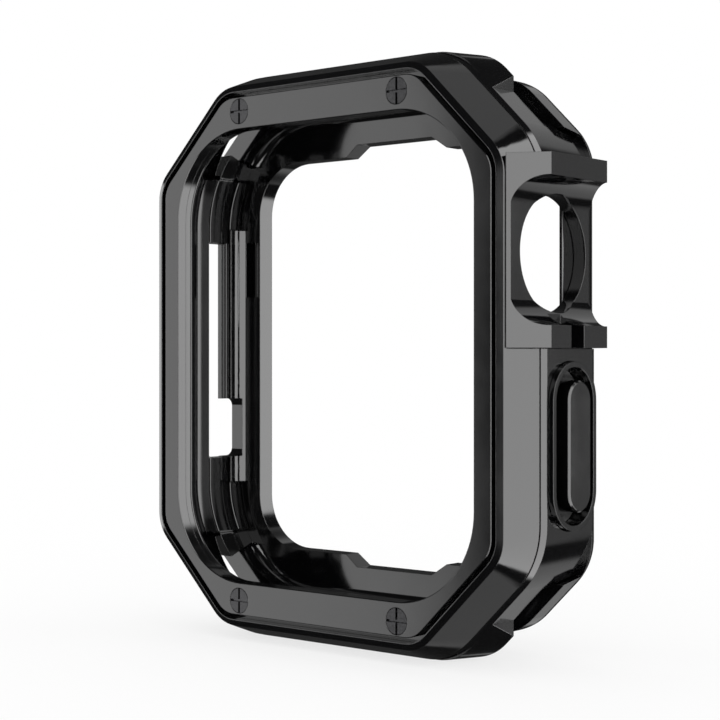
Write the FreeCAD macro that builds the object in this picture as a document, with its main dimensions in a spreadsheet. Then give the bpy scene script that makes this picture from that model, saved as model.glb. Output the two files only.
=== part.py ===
import FreeCAD, Part
import math
import os
import Sketcher
from FreeCAD import Placement, Rotation, Vector

# A rugged bumper case for a rounded rectangular watch. It stands on its lower end.
# +X is the crown side, -Y is the face that the wearer looks at, +Z is twelve o'clock.
# The origin is under the middle of the case, on the surface that it stands on.
# Depths are counted from the front plane towards the wrist.

doc = FreeCAD.newDocument("WatchCase")

# Driving sizes in millimetres
SIZES = [
    # the watch that the case holds
    ("watch_width", 38.2),
    ("watch_height", 45.2),
    ("watch_corner", 10.0),
    # walls of the case round it
    ("side_wall", 2.4),
    ("end_wall", 3.2),
    ("corner_wall", 1.74),
    ("outer_corner", 7.5),
    ("face_corner", 2.5),
    ("case_depth", 13.0),
    # front bumper, with its flared outside and its rim
    ("bumper_depth", 3.3),
    ("flare_depth", 3.1),
    ("side_flare", 1.5),
    ("end_flare", 1.1),
    ("corner_flare", 1.5),
    ("rim_width", 0.6),
    ("rim_land", 0.08),
    ("rim_drop", 0.22),
    ("seam_step", 0.2),
    ("seam_step_depth", 0.6),
    ("seam_groove", 0.25),
    # face plate, let into the bumper behind the rim
    ("plate_thickness", 1.0),
    ("plate_groove", 0.45),
    ("plate_side_band", 1.75),
    ("plate_end_band", 2.9),
    ("opening_corner", 8.0),
    ("plate_bevel", 0.06),
    ("lip_thickness", 1.6),
    ("seat_width", 0.7),
    ("seat_spread", 1.0),
    # cross-slotted face screws
    ("face_screw_share", 0.4853),
    ("face_screw_inset", 1.3),
    ("face_head_radius", 1.1),
    ("face_head_height", 0.55),
    ("face_shank_radius", 0.45),
    ("face_screw_length", 2.6),
    ("slot_width", 0.22),
    ("slot_depth", 0.25),
    # screen gasket
    ("gasket_width", 0.55),
    ("gasket_thickness", 0.5),
    # middle frame and strap slots
    ("liner_thickness", 0.6),
    ("end_bar_depth_share", 0.5385),
    ("rail_past_corner", 1.6),
    ("rail_tip_rise", 1.0),
    ("shoulder_share", 0.75),
    ("shoulder_rise", 0.95),
    ("shoulder_round", 5.0),
    ("strap_slot", 1.6),
    ("strap_relief_start", 4.1),
    ("strap_relief_rise", 1.8),
    # back frame with its lip
    ("spigot_depth_share", 0.7077),
    ("spigot_thickness", 1.0),
    ("back_end_drop", 2.0),
    ("back_corner_rise", 0.6),
    ("back_round", 2.8),
    ("lip_front_share", 0.8669),
    ("lip_slope_depth", 0.85),
    ("lip_root_round", 1.0),
    ("lip_side_band", 2.0),
    ("lip_end_band", 3.85),
    ("lip_crown_relief", 1.1),
    ("back_opening_corner", 5.0),
    ("release_half_width", 4.4),
    ("release_ramp", 1.5),
    ("release_height", 1.05),
    ("lip_pocket_length", 5.4),
    ("lip_pocket_centre", 8.5),
    ("lip_pocket_width", 1.35),
    ("lip_pocket_depth", 1.1),
    # long screws through the corners
    ("corner_screw_side", 2.15),
    ("corner_screw_inset", 1.34),
    ("corner_shank_radius", 0.45),
    ("corner_head_radius", 0.7),
    ("corner_head_height", 0.6),
    ("corner_tip_depth", 2.45),
    # speaker slot in the left wall
    ("speaker_front_share", 0.4923),
    ("speaker_narrow", 2.1),
    ("speaker_wide", 4.7),
    ("speaker_top_share", 0.2434),
    ("speaker_step_share", 0.093),
    ("speaker_bottom_share", 0.219),
    ("speaker_round", 0.8),
    ("speaker_past_wall", 0.3),
    ("narrow_scoop", 1.3),
    ("wide_scoop", 0.7),
    ("scoop_run_share", 1.45),
    ("scoop_margin", 0.6),
    # crown guard
    ("crown_depth_share", 0.5154),
    ("crown_radius_share", 0.1084),
    ("guard_height_share", 0.343),
    ("guard_below_rail_end", 2.25),
    ("guard_stand_out", 1.7),
    ("guard_front", 0.3),
    ("guard_slope", 1.6),
    ("guard_rear_start_share", 0.7923),
    ("guard_rear_share", 0.9462),
    ("guard_root", 1.55),
    ("guard_floor", 1.2),
    ("guard_arm_seat", 0.6),
    ("guard_arm_cover", 2.0),
    ("dish_floor_margin", 3.85),
    ("dish_mouth_margin", 1.8),
    ("dish_bulge", 0.55),
    ("guard_screw_depth_share", 0.6308),
    ("guard_screw_inset", 0.95),
    ("guard_shank_radius", 0.45),
    ("guard_head_radius", 0.8),
    ("guard_head_height", 0.5),
    ("guard_screw_length", 2.6),
    ("mic_depth_share", 0.4462),
    ("mic_notch_width", 1.9),
    ("mic_hole_radius", 0.6),
    # side button
    ("button_depth_share", 0.5615),
    ("button_below_guard", 1.1),
    ("collar_width_share", 0.5),
    ("collar_height_share", 0.3075),
    ("collar_margin", 0.25),
    ("collar_wall", 0.45),
    ("collar_stand_out", 0.5),
    ("collar_root", 1.3),
    ("cap_width_share", 0.5077),
    ("cap_height_share", 0.777),
    ("cap_stand_out", 1.0),
    ("cap_bevel", 0.15),
    ("cap_lift", 0.25),
    ("membrane_thickness", 0.3),
    ("membrane_shrink", 0.5),
    ("push_rod_width", 1.6),
    ("push_rod_height_share", 0.3453),
    ("push_rod_recess", 0.15),
    # clearances
    ("fit_gap", 0.05),
    ("running_gap", 0.3),
    ("cut_over", 1.0),
]

# Places and outlines worked out from the driving sizes
PLACES = [
    ("mid_x", "0 * Sizes.watch_width"),
    ("front_y", "-Sizes.case_depth / 2"),
    ("back_y", "Sizes.case_depth / 2"),
    ("half_w", "Sizes.watch_width / 2 + Sizes.side_wall"),
    ("half_h", "Sizes.watch_height / 2 + Sizes.end_wall"),
    ("mid_z", "half_h"),
    ("cavity_w", "Sizes.watch_width / 2"),
    ("cavity_h", "Sizes.watch_height / 2"),
    ("cavity_h_less", "cavity_h - Sizes.fit_gap"),
    ("cavity_reach", "(cavity_w + cavity_h - 2 * Sizes.watch_corner) / sqrt(2) + Sizes.watch_corner"),
    ("reach", "cavity_reach + Sizes.corner_wall"),
    ("round", "Sizes.outer_corner"),
    # bumper outline behind the flare, and its rim in front
    ("bump_w", "half_w - Sizes.seam_step"),
    ("bump_h", "half_h - Sizes.seam_step"),
    ("bump_reach", "reach - Sizes.seam_step"),
    ("bump_round", "round - Sizes.seam_step"),
    ("foot_w", "bump_w - Sizes.seam_groove"),
    ("foot_h", "bump_h - Sizes.seam_groove"),
    ("foot_reach", "bump_reach - Sizes.seam_groove"),
    ("foot_round", "bump_round - Sizes.seam_groove"),
    ("rim_w", "bump_w - Sizes.side_flare"),
    ("rim_h", "bump_h - Sizes.end_flare"),
    ("rim_reach", "bump_reach - Sizes.corner_flare"),
    ("plate_round", "Sizes.face_corner"),
    ("pocket_round", "plate_round + Sizes.plate_groove"),
    ("rim_round", "pocket_round + Sizes.rim_width"),
    ("crest_w", "rim_w - Sizes.rim_width + Sizes.rim_land"),
    ("crest_h", "rim_h - Sizes.rim_width + Sizes.rim_land"),
    ("crest_reach", "rim_reach - Sizes.rim_width + Sizes.rim_land"),
    ("crest_round", "pocket_round + Sizes.rim_land"),
    ("pocket_w", "rim_w - Sizes.rim_width"),
    ("pocket_h", "rim_h - Sizes.rim_width"),
    ("pocket_reach", "rim_reach - Sizes.rim_width"),
    ("plate_w", "pocket_w - Sizes.plate_groove"),
    ("plate_h", "pocket_h - Sizes.plate_groove"),
    ("plate_reach", "pocket_reach - Sizes.plate_groove"),
    ("face_screw_x", "Sizes.face_screw_share * plate_w"),
    ("open_w", "plate_w - Sizes.plate_side_band"),
    ("open_h", "plate_h - Sizes.plate_end_band"),
    ("open_round", "Sizes.opening_corner"),
    ("seat_w", "open_w + Sizes.seat_width"),
    ("seat_h", "open_h + Sizes.seat_width"),
    ("seat_round", "open_round + Sizes.seat_width"),
    ("seat_far_w", "seat_w + Sizes.seat_spread"),
    ("seat_far_h", "seat_h + Sizes.seat_spread"),
    ("seat_far_round", "seat_round + Sizes.seat_spread"),
    ("gasket_out_w", "seat_w - Sizes.fit_gap"),
    ("gasket_out_h", "seat_h - Sizes.fit_gap"),
    ("gasket_out_round", "seat_round - Sizes.fit_gap"),
    ("gasket_in_w", "gasket_out_w - Sizes.gasket_width"),
    ("gasket_in_h", "gasket_out_h - Sizes.gasket_width"),
    ("gasket_in_round", "gasket_out_round - Sizes.gasket_width"),
    # depths along Y
    ("rim_y", "front_y + Sizes.rim_drop"),
    ("flare_y", "front_y + Sizes.flare_depth"),
    ("parting_y", "front_y + Sizes.bumper_depth"),
    ("lip_y", "front_y + Sizes.lip_thickness"),
    ("seat_near_y", "lip_y + Sizes.gasket_thickness"),
    ("step_y", "parting_y + Sizes.seam_step_depth"),
    ("button_y", "front_y + Sizes.button_depth_share * Sizes.case_depth"),
    ("collar_width", "Sizes.collar_width_share * Sizes.case_depth"),
    ("rail_y", "button_y + collar_width / 2 + Sizes.collar_margin"),
    ("end_bar_y", "front_y + Sizes.end_bar_depth_share * Sizes.case_depth"),
    ("relief_y", "front_y + Sizes.strap_relief_start"),
    ("back_bar_y", "end_bar_y + Sizes.strap_slot"),
    ("spigot_y", "front_y + Sizes.spigot_depth_share * Sizes.case_depth"),
    ("lip_front_y", "front_y + Sizes.lip_front_share * Sizes.case_depth"),
    ("screw_seat_y", "rail_y + 2 * Sizes.fit_gap"),
    ("screw_tip_y", "front_y + Sizes.corner_tip_depth"),
    ("screw_length", "screw_seat_y - screw_tip_y"),
    ("screw_x", "half_w - Sizes.corner_screw_side"),
    ("screw_z", "(reach - Sizes.corner_screw_inset) * sqrt(2) - screw_x"),
    # opening for the speaker
    ("speaker_y", "front_y + Sizes.speaker_front_share * Sizes.case_depth"),
    ("speaker_step_z", "mid_z - Sizes.speaker_step_share * Sizes.watch_height"),
    ("speaker_low_z", "mid_z - Sizes.speaker_bottom_share * Sizes.watch_height"),
    ("speaker_top_z", "mid_z + Sizes.speaker_top_share * Sizes.watch_height"),
    ("speaker_wide_half", "Sizes.speaker_wide / 2"),
    ("speaker_wide_y", "speaker_y + speaker_wide_half"),
    ("speaker_wide_z", "(speaker_low_z + speaker_step_z) / 2"),
    ("speaker_wide_rise", "(speaker_step_z - speaker_low_z) / 2"),
    ("speaker_end", "cavity_w - Sizes.speaker_past_wall"),
    ("narrow_floor", "half_w - Sizes.narrow_scoop"),
    ("wide_floor", "half_w - Sizes.wide_scoop"),
    ("narrow_back_y", "speaker_y + Sizes.speaker_narrow"),
    ("wide_back_y", "speaker_y + Sizes.speaker_wide"),
    ("narrow_mouth_y", "narrow_back_y + (half_w + Sizes.cut_over - narrow_floor) * Sizes.scoop_run_share"),
    ("wide_mouth_y", "wide_back_y + (half_w + Sizes.cut_over - wide_floor) * Sizes.scoop_run_share"),
    # middle frame and liners
    ("liner_w", "cavity_w + Sizes.liner_thickness"),
    ("liner_round", "Sizes.watch_corner + Sizes.liner_thickness / 2"),
    ("liner_out_w", "liner_w - Sizes.fit_gap"),
    ("rail_end_z", "reach * sqrt(2) - half_w + Sizes.rail_past_corner"),
    ("rail_tip_z", "rail_end_z + Sizes.rail_tip_rise"),
    ("rail_room_end_z", "rail_end_z + 2 * Sizes.fit_gap"),
    ("rail_room_tip_z", "rail_tip_z + 2 * Sizes.fit_gap"),
    ("beyond_rail_y", "rail_y + Sizes.cut_over"),
    ("beyond_w", "half_w + Sizes.cut_over"),
    ("beyond_h", "half_h + Sizes.cut_over"),
    ("liner_end_z", "rail_end_z - Sizes.running_gap * 4"),
    ("spigot_z", "cavity_h - Sizes.watch_corner - 4 * Sizes.fit_gap"),
    ("relief_h", "cavity_h + Sizes.strap_relief_rise"),
    ("shoulder_w", "Sizes.shoulder_share * half_w"),
    ("shoulder_h", "half_h - Sizes.fit_gap"),
    ("shoulder_reach", "reach + Sizes.shoulder_rise"),
    # back frame
    ("back_w", "half_w"),
    ("back_h", "half_h - Sizes.back_end_drop"),
    ("back_reach", "reach + Sizes.back_corner_rise"),
    ("back_round_corner", "round - Sizes.back_end_drop"),
    ("spigot_w", "cavity_w + Sizes.spigot_thickness"),
    ("rebate_w", "spigot_w + Sizes.fit_gap"),
    ("lip_w", "cavity_w - Sizes.lip_side_band"),
    ("lip_h", "cavity_h - Sizes.lip_end_band"),
    ("lip_round", "Sizes.back_opening_corner"),
    ("slope_y", "lip_front_y - Sizes.lip_slope_depth"),
    # crown guard
    ("guard_face_x", "half_w + Sizes.guard_stand_out"),
    ("guard_root_x", "half_w - Sizes.guard_root"),
    ("guard_seat_x", "half_w - Sizes.guard_arm_seat"),
    ("guard_floor_x", "half_w - Sizes.guard_floor"),
    ("guard_plate_x", "cavity_w + Sizes.fit_gap"),
    ("guard_front_y", "front_y + Sizes.guard_front"),
    ("guard_slope_y", "guard_front_y + Sizes.guard_slope"),
    ("guard_rear_start_y", "front_y + Sizes.guard_rear_start_share * Sizes.case_depth"),
    ("guard_rear_y", "front_y + Sizes.guard_rear_share * Sizes.case_depth"),
    ("guard_half_height", "Sizes.guard_height_share * Sizes.watch_height / 2"),
    ("window_half_height", "guard_half_height - Sizes.guard_arm_cover"),
    ("dish_floor_half_height", "guard_half_height - Sizes.dish_floor_margin"),
    ("dish_mouth_half_height", "guard_half_height - Sizes.dish_mouth_margin"),
    ("crown_radius", "Sizes.crown_radius_share * Sizes.watch_height"),
    ("crown_y", "front_y + Sizes.crown_depth_share * Sizes.case_depth"),
    ("crown_z", "mid_z + rail_end_z - guard_half_height - Sizes.guard_below_rail_end"),
    ("guard_low_z", "crown_z - guard_half_height"),
    ("guard_screw_y", "front_y + Sizes.guard_screw_depth_share * Sizes.case_depth"),
    ("mic_y", "front_y + Sizes.mic_depth_share * Sizes.case_depth"),
    ("mic_z", "guard_low_z + Sizes.guard_screw_inset"),
    # side button
    ("collar_height", "Sizes.collar_height_share * Sizes.watch_height"),
    ("button_z", "guard_low_z - Sizes.button_below_guard - collar_height / 2"),
    ("cap_width", "Sizes.cap_width_share * collar_width"),
    ("cap_height", "Sizes.cap_height_share * collar_height"),
    ("push_rod_height", "Sizes.push_rod_height_share * collar_height"),
    ("collar_face_x", "half_w + Sizes.collar_stand_out"),
    ("collar_root_x", "half_w - Sizes.collar_root"),
    ("cap_face_x", "half_w + Sizes.cap_stand_out"),
    ("cap_foot_x", "collar_root_x + Sizes.membrane_thickness + Sizes.cap_lift"),
    ("push_rod_tip_x", "cavity_w + Sizes.push_rod_recess"),
]

sizes = doc.addObject("Spreadsheet::Sheet", "Sizes")
for row, (name, value) in enumerate(SIZES, start=1):
    sizes.set(f"A{row}", name)
    sizes.set(f"B{row}", str(value))
    sizes.setAlias(f"B{row}", name)
doc.recompute()
places = doc.addObject("Spreadsheet::Sheet", "Places")
for row, (name, formula) in enumerate(PLACES, start=1):
    places.set(f"A{row}", name)
    places.setAlias(f"B{row}", name)
    places.set(f"B{row}", "=" + formula)
doc.recompute()


def value(expression):
    """Number behind one sheet entry, such as Places.rim_w."""
    sheet, name = expression.split(".")
    return float(getattr(doc.getObject(sheet), name))


def origin_plane(body, role):
    """One of the body's own origin planes."""
    for feature in body.Origin.OriginFeatures:
        if feature.Role == role:
            return feature
    raise ValueError(role)


def new_body(name):
    body = doc.addObject("PartDesign::Body", name)
    body.Label = name
    return body


def new_sketch(body, role, name, offsets):
    """Sketch on an origin plane, moved by expressions for its local x, y and z."""
    sketch = body.newObject("Sketcher::SketchObject", name)
    sketch.AttachmentSupport = (origin_plane(body, role), [""])
    sketch.MapMode = "FlatFace"
    for axis, expression in zip("xyz", offsets):
        if expression:
            sketch.setExpression(f"AttachmentOffset.Base.{axis}", expression)
    return sketch


def front_sketch(body, name, depth):
    """Sketch across the case, seen from the back, centred on its middle."""
    return new_sketch(body, "XZ_Plane", name, (None, "Places.mid_z", f"-({depth})"))


def side_sketch(body, name, across, up, out):
    """Sketch on a plane that faces the crown side, centred at a depth and a height."""
    return new_sketch(body, "YZ_Plane", name, (across, up, out))


def dimension(sketch, kind, items, number, name, expression):
    """Driving dimension of a sketch, bound to the sheet."""
    index = sketch.addConstraint(Sketcher.Constraint(kind, *items, number))
    sketch.renameConstraint(index, name)
    sketch.setExpression(f"Constraints.{name}", expression)


def polygon_points(lines):
    """Corners of the closed outline whose sides are x * cos + y * sin = distance."""
    corners = []
    for (ax, ay, ad), (bx, by, bd) in zip(lines, lines[1:] + lines[:1]):
        cross = ax * by - ay * bx
        corners.append(Vector((ad * by - bd * ay) / cross, (ax * bd - bx * ad) / cross, 0))
    return corners


def rounded_outline(sketch, sides, radius, tag):
    """Closed outline of straight sides joined by equal tangent arcs.

    Each side is an angle of its outward normal and an expression for its distance from
    the middle. The sketch's own constraints hold the angles, the distances and the arcs.
    """
    normals = [(math.cos(math.radians(turn)), math.sin(math.radians(turn))) for turn, _ in sides]
    reaches = [value(expression) for _, expression in sides]
    lines = [(nx, ny, reach) for (nx, ny), reach in zip(normals, reaches)]
    corners = polygon_points(lines)
    arc_radius = value(radius)
    first = sketch.GeometryCount
    count = len(sides)
    starts, ends, centres = [], [], []
    for index in range(count):
        before, after = lines[index], lines[(index + 1) % count]
        half_turn = math.acos(before[0] * after[0] + before[1] * after[1]) / 2
        cut = arc_radius * math.tan(half_turn)
        along = Vector(-before[1], before[0], 0)
        onward = Vector(-after[1], after[0], 0)
        ends.append(corners[index] - along * cut)
        starts.append(corners[index] + onward * cut)
        centres.append(ends[-1] - Vector(before[0], before[1], 0) * arc_radius)
    for index in range(count):
        sketch.addGeometry(Part.LineSegment(starts[index - 1], ends[index]), False)
    for index in range(count):
        circle = Part.Circle(centres[index], Vector(0, 0, 1), arc_radius)
        low = math.radians(sides[index][0])
        high = math.radians(sides[(index + 1) % count][0])
        if high < low:
            high += 2 * math.pi
        sketch.addGeometry(Part.ArcOfCircle(circle, low, high), False)
    for index in range(count):
        line, arc = first + index, first + count + index
        follower = first + (index + 1) % count
        sketch.addConstraint(Sketcher.Constraint("Tangent", line, 2, arc, 1))
        sketch.addConstraint(Sketcher.Constraint("Tangent", arc, 2, follower, 1))
        if index:
            sketch.addConstraint(Sketcher.Constraint("Equal", first + count, arc))
    dimension(sketch, "Radius", (first + count,), arc_radius, f"{tag}_radius", radius)
    for index, (turn, expression) in enumerate(sides):
        line = first + index
        name = f"{tag}_side_{index}"
        if turn % 180 == 0:
            sketch.addConstraint(Sketcher.Constraint("Vertical", line))
            signed = reaches[index] if turn == 0 else -reaches[index]
            text = expression if turn == 0 else f"-{expression}"
            dimension(sketch, "DistanceX", (-1, 1, line, 1), signed, name, text)
        elif turn % 90 == 0:
            sketch.addConstraint(Sketcher.Constraint("Horizontal", line))
            signed = reaches[index] if turn == 90 else -reaches[index]
            text = expression if turn == 90 else f"-{expression}"
            dimension(sketch, "DistanceY", (-1, 1, line, 1), signed, name, text)
        else:
            direction = math.radians((turn + 90) % 360)
            sketch.addConstraint(Sketcher.Constraint("Angle", line, direction))
            dimension(sketch, "Distance", (-1, 1, line), reaches[index], name, expression)


def octagon(sketch, wide, tall, reach, radius, tag="outline"):
    """Upright rectangle with its corners cut at 45 degrees and every corner rounded."""
    sides = [(0, wide), (45, reach), (90, tall), (135, reach)]
    sides += [(180, wide), (225, reach), (270, tall), (315, reach)]
    rounded_outline(sketch, sides, radius, tag)


def rectangle(sketch, wide, tall, radius, tag="outline"):
    """Upright rectangle with rounded corners."""
    sides = [(0, wide), (90, tall), (180, wide), (270, tall)]
    rounded_outline(sketch, sides, radius, tag)


def obround(sketch, width, height, shrink="0 * Sizes.fit_gap", tag="outline"):
    """Upright slot with round ends, of a whole width and height less twice a shrink."""
    half = (value(width) - 2 * shrink_value(shrink)) / 2
    rise = value(height) / 2 - shrink_value(shrink) - half
    first = sketch.GeometryCount
    sketch.addGeometry(Part.LineSegment(Vector(half, -rise, 0), Vector(half, rise, 0)), False)
    top = Part.Circle(Vector(0, rise, 0), Vector(0, 0, 1), half)
    sketch.addGeometry(Part.ArcOfCircle(top, 0, math.pi), False)
    sketch.addGeometry(Part.LineSegment(Vector(-half, rise, 0), Vector(-half, -rise, 0)), False)
    low = Part.Circle(Vector(0, -rise, 0), Vector(0, 0, 1), half)
    sketch.addGeometry(Part.ArcOfCircle(low, math.pi, 2 * math.pi), False)
    for index in range(4):
        follower = first + (index + 1) % 4
        sketch.addConstraint(Sketcher.Constraint("Tangent", first + index, 2, follower, 1))
    sketch.addConstraint(Sketcher.Constraint("Vertical", first))
    sketch.addConstraint(Sketcher.Constraint("Equal", first + 1, first + 3))
    sketch.addConstraint(Sketcher.Constraint("Symmetric", first + 1, 3, first + 3, 3, -1, 1))
    name = f"{tag}_radius"
    dimension(sketch, "Radius", (first + 1,), half, name, f"{width} / 2 - ({shrink})")
    text = f"{height} / 2 - {width} / 2"
    dimension(sketch, "DistanceY", (-1, 1, first + 1, 3), rise, f"{tag}_rise", text)


def shrink_value(expression):
    """Number of a shrink, which is one sheet entry, its negative or nothing."""
    if expression.startswith("0"):
        return 0
    if expression.startswith("-"):
        return -value(expression[1:])
    return value(expression)


def chain(sketch, points, tag="point"):
    """Closed outline of straight sides through corners bound to pairs of expressions.

    Each corner is two sheet entries, with an optional leading minus sign.
    """
    spots = [Vector(shrink_value(px), shrink_value(py), 0) for px, py in points]
    first = sketch.GeometryCount
    count = len(points)
    for index in range(count):
        sketch.addGeometry(Part.LineSegment(spots[index], spots[(index + 1) % count]), False)
    for index in range(count):
        follower = first + (index + 1) % count
        sketch.addConstraint(Sketcher.Constraint("Coincident", first + index, 2, follower, 1))
    for index, (px, py) in enumerate(points):
        spot = spots[index]
        line = first + index
        dimension(sketch, "DistanceX", (-1, 1, line, 1), spot.x, f"{tag}_x{index}", px)
        dimension(sketch, "DistanceY", (-1, 1, line, 1), spot.y, f"{tag}_y{index}", py)


def pad(body, sketch, length, onward=True):
    """Pad towards the wrist from a front sketch, or outwards from a side sketch."""
    feature = body.newObject("PartDesign::Pad", sketch.Name + "_pad")
    feature.Profile = sketch
    feature.Reversed = onward
    feature.setExpression("Length", length)
    sketch.Visibility = False
    doc.recompute()
    return feature


def pocket(body, sketch, length, flipped):
    """Pocket of a length; flipped sends it the way that the sketch faces."""
    before = body.Shape.Volume
    feature = body.newObject("PartDesign::Pocket", sketch.Name + "_cut")
    feature.Profile = sketch
    feature.Reversed = flipped
    feature.setExpression("Length", length)
    doc.recompute()
    if body.Shape.Volume >= before:
        raise ValueError(f"{sketch.Name} cuts nothing")
    return feature


def loft(body, sketches, additive, name):
    """Ruled loft through sketches of one kind."""
    kind = "PartDesign::AdditiveLoft" if additive else "PartDesign::SubtractiveLoft"
    feature = body.newObject(kind, name)
    feature.Profile = sketches[0]
    feature.Sections = sketches[1:]
    feature.Ruled = True
    doc.recompute()
    return feature


def block(body, name, low, high, additive=False):
    """Box between two corners given as expressions for x, y and z."""
    before = body.Shape.Volume if body.Tip else 0
    kind = "PartDesign::AdditiveBox" if additive else "PartDesign::SubtractiveBox"
    feature = body.newObject(kind, name)
    for axis, start in zip("xyz", low):
        feature.setExpression(f"Placement.Base.{axis}", start)
    for prop, start, stop in zip(("Length", "Width", "Height"), low, high):
        feature.setExpression(prop, f"({stop}) - ({start})")
    doc.recompute()
    if not additive and body.Shape.Volume >= before:
        raise ValueError(f"{name} cuts nothing")
    return feature


def drill(body, name, start, axis, length, radius, additive=False):
    """Cylinder from a start, given as expressions, along +X or +Y."""
    before = body.Shape.Volume if body.Tip else 0
    kind = "PartDesign::AdditiveCylinder" if additive else "PartDesign::SubtractiveCylinder"
    feature = body.newObject(kind, name)
    turn = Rotation(Vector(0, 1, 0), 90) if axis == "x" else Rotation(Vector(1, 0, 0), -90)
    feature.Placement = Placement(Vector(), turn)
    for letter, expression in zip("xyz", start):
        feature.setExpression(f"Placement.Base.{letter}", expression)
    feature.setExpression("Radius", radius)
    feature.setExpression("Height", length)
    doc.recompute()
    if not additive and body.Shape.Volume >= before:
        raise ValueError(f"{name} cuts nothing")
    return feature


def edges_where(body, wanted):
    """Names of the body's edges for which a test holds."""
    return [f"Edge{i}" for i, edge in enumerate(body.Shape.Edges, start=1) if wanted(edge)]


def bevel(body, edges, size, name, kind="Chamfer"):
    """Chamfer or fillet on the edges named, with its size bound to the sheet."""
    base = body.Tip
    feature = body.newObject(f"PartDesign::{kind}", name)
    feature.Base = (base, edges)
    feature.setExpression("Size" if kind == "Chamfer" else "Radius", size)
    doc.recompute()
    return feature


def flat_at(edge, axis, place):
    """True for an edge that lies wholly at one place along an axis."""
    box = edge.BoundBox
    low, high = getattr(box, axis + "Min"), getattr(box, axis + "Max")
    return abs(low - place) < TOUCH and abs(high - place) < TOUCH


def ring_sketch(body, name, depth, outer, inner):
    """Front sketch with an octagon outside and a rounded rectangle inside."""
    sketch = front_sketch(body, name, depth)
    octagon(sketch, *outer, tag="outer")
    rectangle(sketch, *inner, tag="inner")
    return sketch


# How near an edge lies to a plane to count as on it
TOUCH = value("Sizes.fit_gap") / 10
OVER = "Sizes.cut_over"
FIT = "Sizes.fit_gap"
RUN = "Sizes.running_gap"
FACE_SCREWS = {"top_left": (-1, 1), "top_right": (1, 1), "bottom_left": (-1, -1), "bottom_right": (1, -1)}


def outline(prefix):
    """Sheet entries of one octagon."""
    return tuple(f"Places.{prefix}_{part}" for part in ("w", "h", "reach", "round"))


CAVITY = ("Places.cavity_w", "Places.cavity_h", "Sizes.watch_corner")
OPENING = ("Places.open_w", "Places.open_h", "Places.open_round")
OUTER = ("Places.half_w", "Places.half_h", "Places.reach", "Places.round")


def guard_cuts(body, front, back, floor_from=None):
    """Seat of the crown guard, from a front depth to a back depth."""
    low, high = "Places.guard_low_z", "Places.guard_low_z + 2 * Places.guard_half_height"
    block(
        body,
        "guard_seat",
        (floor_from or f"Places.guard_root_x - {FIT}", front, f"{low} - {FIT}"),
        ("Places.half_w + " + OVER, back, f"{high} + {FIT}"),
    )


def guard_window(body, front, back, inner):
    """Window that the guard's plate fills."""
    half = f"(Places.window_half_height + {FIT})"
    block(
        body,
        "guard_window",
        (inner, front, f"Places.crown_z - {half}"),
        ("Places.half_w + " + OVER, back, f"Places.crown_z + {half}"),
    )


def corner_holes(body, start, length, radius, name):
    """Four holes along the depth for the long corner screws."""
    for corner, (sx, sz) in FACE_SCREWS.items():
        spot = (f"{sx} * Places.screw_x", start, f"Places.mid_z + {sz} * Places.screw_z")
        drill(body, f"{name}_{corner}", spot, "y", length, radius)


def build_front_bumper():
    """Flared ring with a rim, a pocket for the face plate and the seat of the watch's glass."""
    body = new_body("front_bumper")
    crest = front_sketch(body, "bumper_crest", "Places.front_y")
    octagon(crest, *outline("crest"))
    rim = front_sketch(body, "bumper_rim", "Places.rim_y")
    octagon(rim, *outline("rim"))
    loft(body, [crest, rim], True, "bumper_rim_slope")
    wide = front_sketch(body, "bumper_wide", "Places.flare_y")
    octagon(wide, *outline("bump"))
    loft(body, [rim, wide], True, "bumper_flare")
    foot = front_sketch(body, "bumper_foot", "Places.flare_y")
    octagon(foot, *outline("foot"))
    pad(body, foot, "Places.parting_y - Places.flare_y")
    recess = front_sketch(body, "bumper_recess", "Places.front_y")
    octagon(recess, *outline("pocket"))
    pocket(body, recess, "Sizes.plate_thickness", False)
    window = front_sketch(body, "bumper_window", "Places.front_y")
    rectangle(window, *OPENING)
    pocket(body, window, "Sizes.case_depth", False)
    seat = front_sketch(body, "bumper_seat", "Places.lip_y")
    rectangle(seat, "Places.seat_w", "Places.seat_h", "Places.seat_round")
    pocket(body, seat, "Sizes.case_depth", False)
    near = front_sketch(body, "seat_near", "Places.seat_near_y")
    rectangle(near, "Places.seat_w", "Places.seat_h", "Places.seat_round")
    far = front_sketch(body, "seat_far", "Places.parting_y")
    rectangle(far, "Places.seat_far_w", "Places.seat_far_h", "Places.seat_far_round")
    loft(body, [near, far], False, "seat_mouth")
    for corner, (sx, sz) in FACE_SCREWS.items():
        spot = face_screw_spot(sx, sz, "Places.front_y")
        length = f"Sizes.face_screw_length + {FIT}"
        drill(body, f"thread_{corner}", spot, "y", length, f"Sizes.face_shank_radius + {FIT}")
    start = f"Places.screw_tip_y - {FIT}"
    length = f"Places.parting_y - Places.screw_tip_y + {FIT}"
    corner_holes(body, start, length, f"Sizes.corner_shank_radius + {FIT}", "corner_thread")
    guard_cuts(body, "Places.front_y - " + OVER, "Places.parting_y + " + OVER)
    ahead, behind = "Places.lip_y + " + FIT, "Places.parting_y + " + OVER
    guard_window(body, ahead, behind, "Places.seat_w - " + OVER)
    return body


def face_screw_spot(sx, sz, depth):
    """Place of one face screw, set in from the plate's end."""
    z = f"Places.mid_z + {sz} * (Places.plate_h - Sizes.face_screw_inset)"
    return (f"{sx} * Places.face_screw_x", depth, z)


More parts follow.
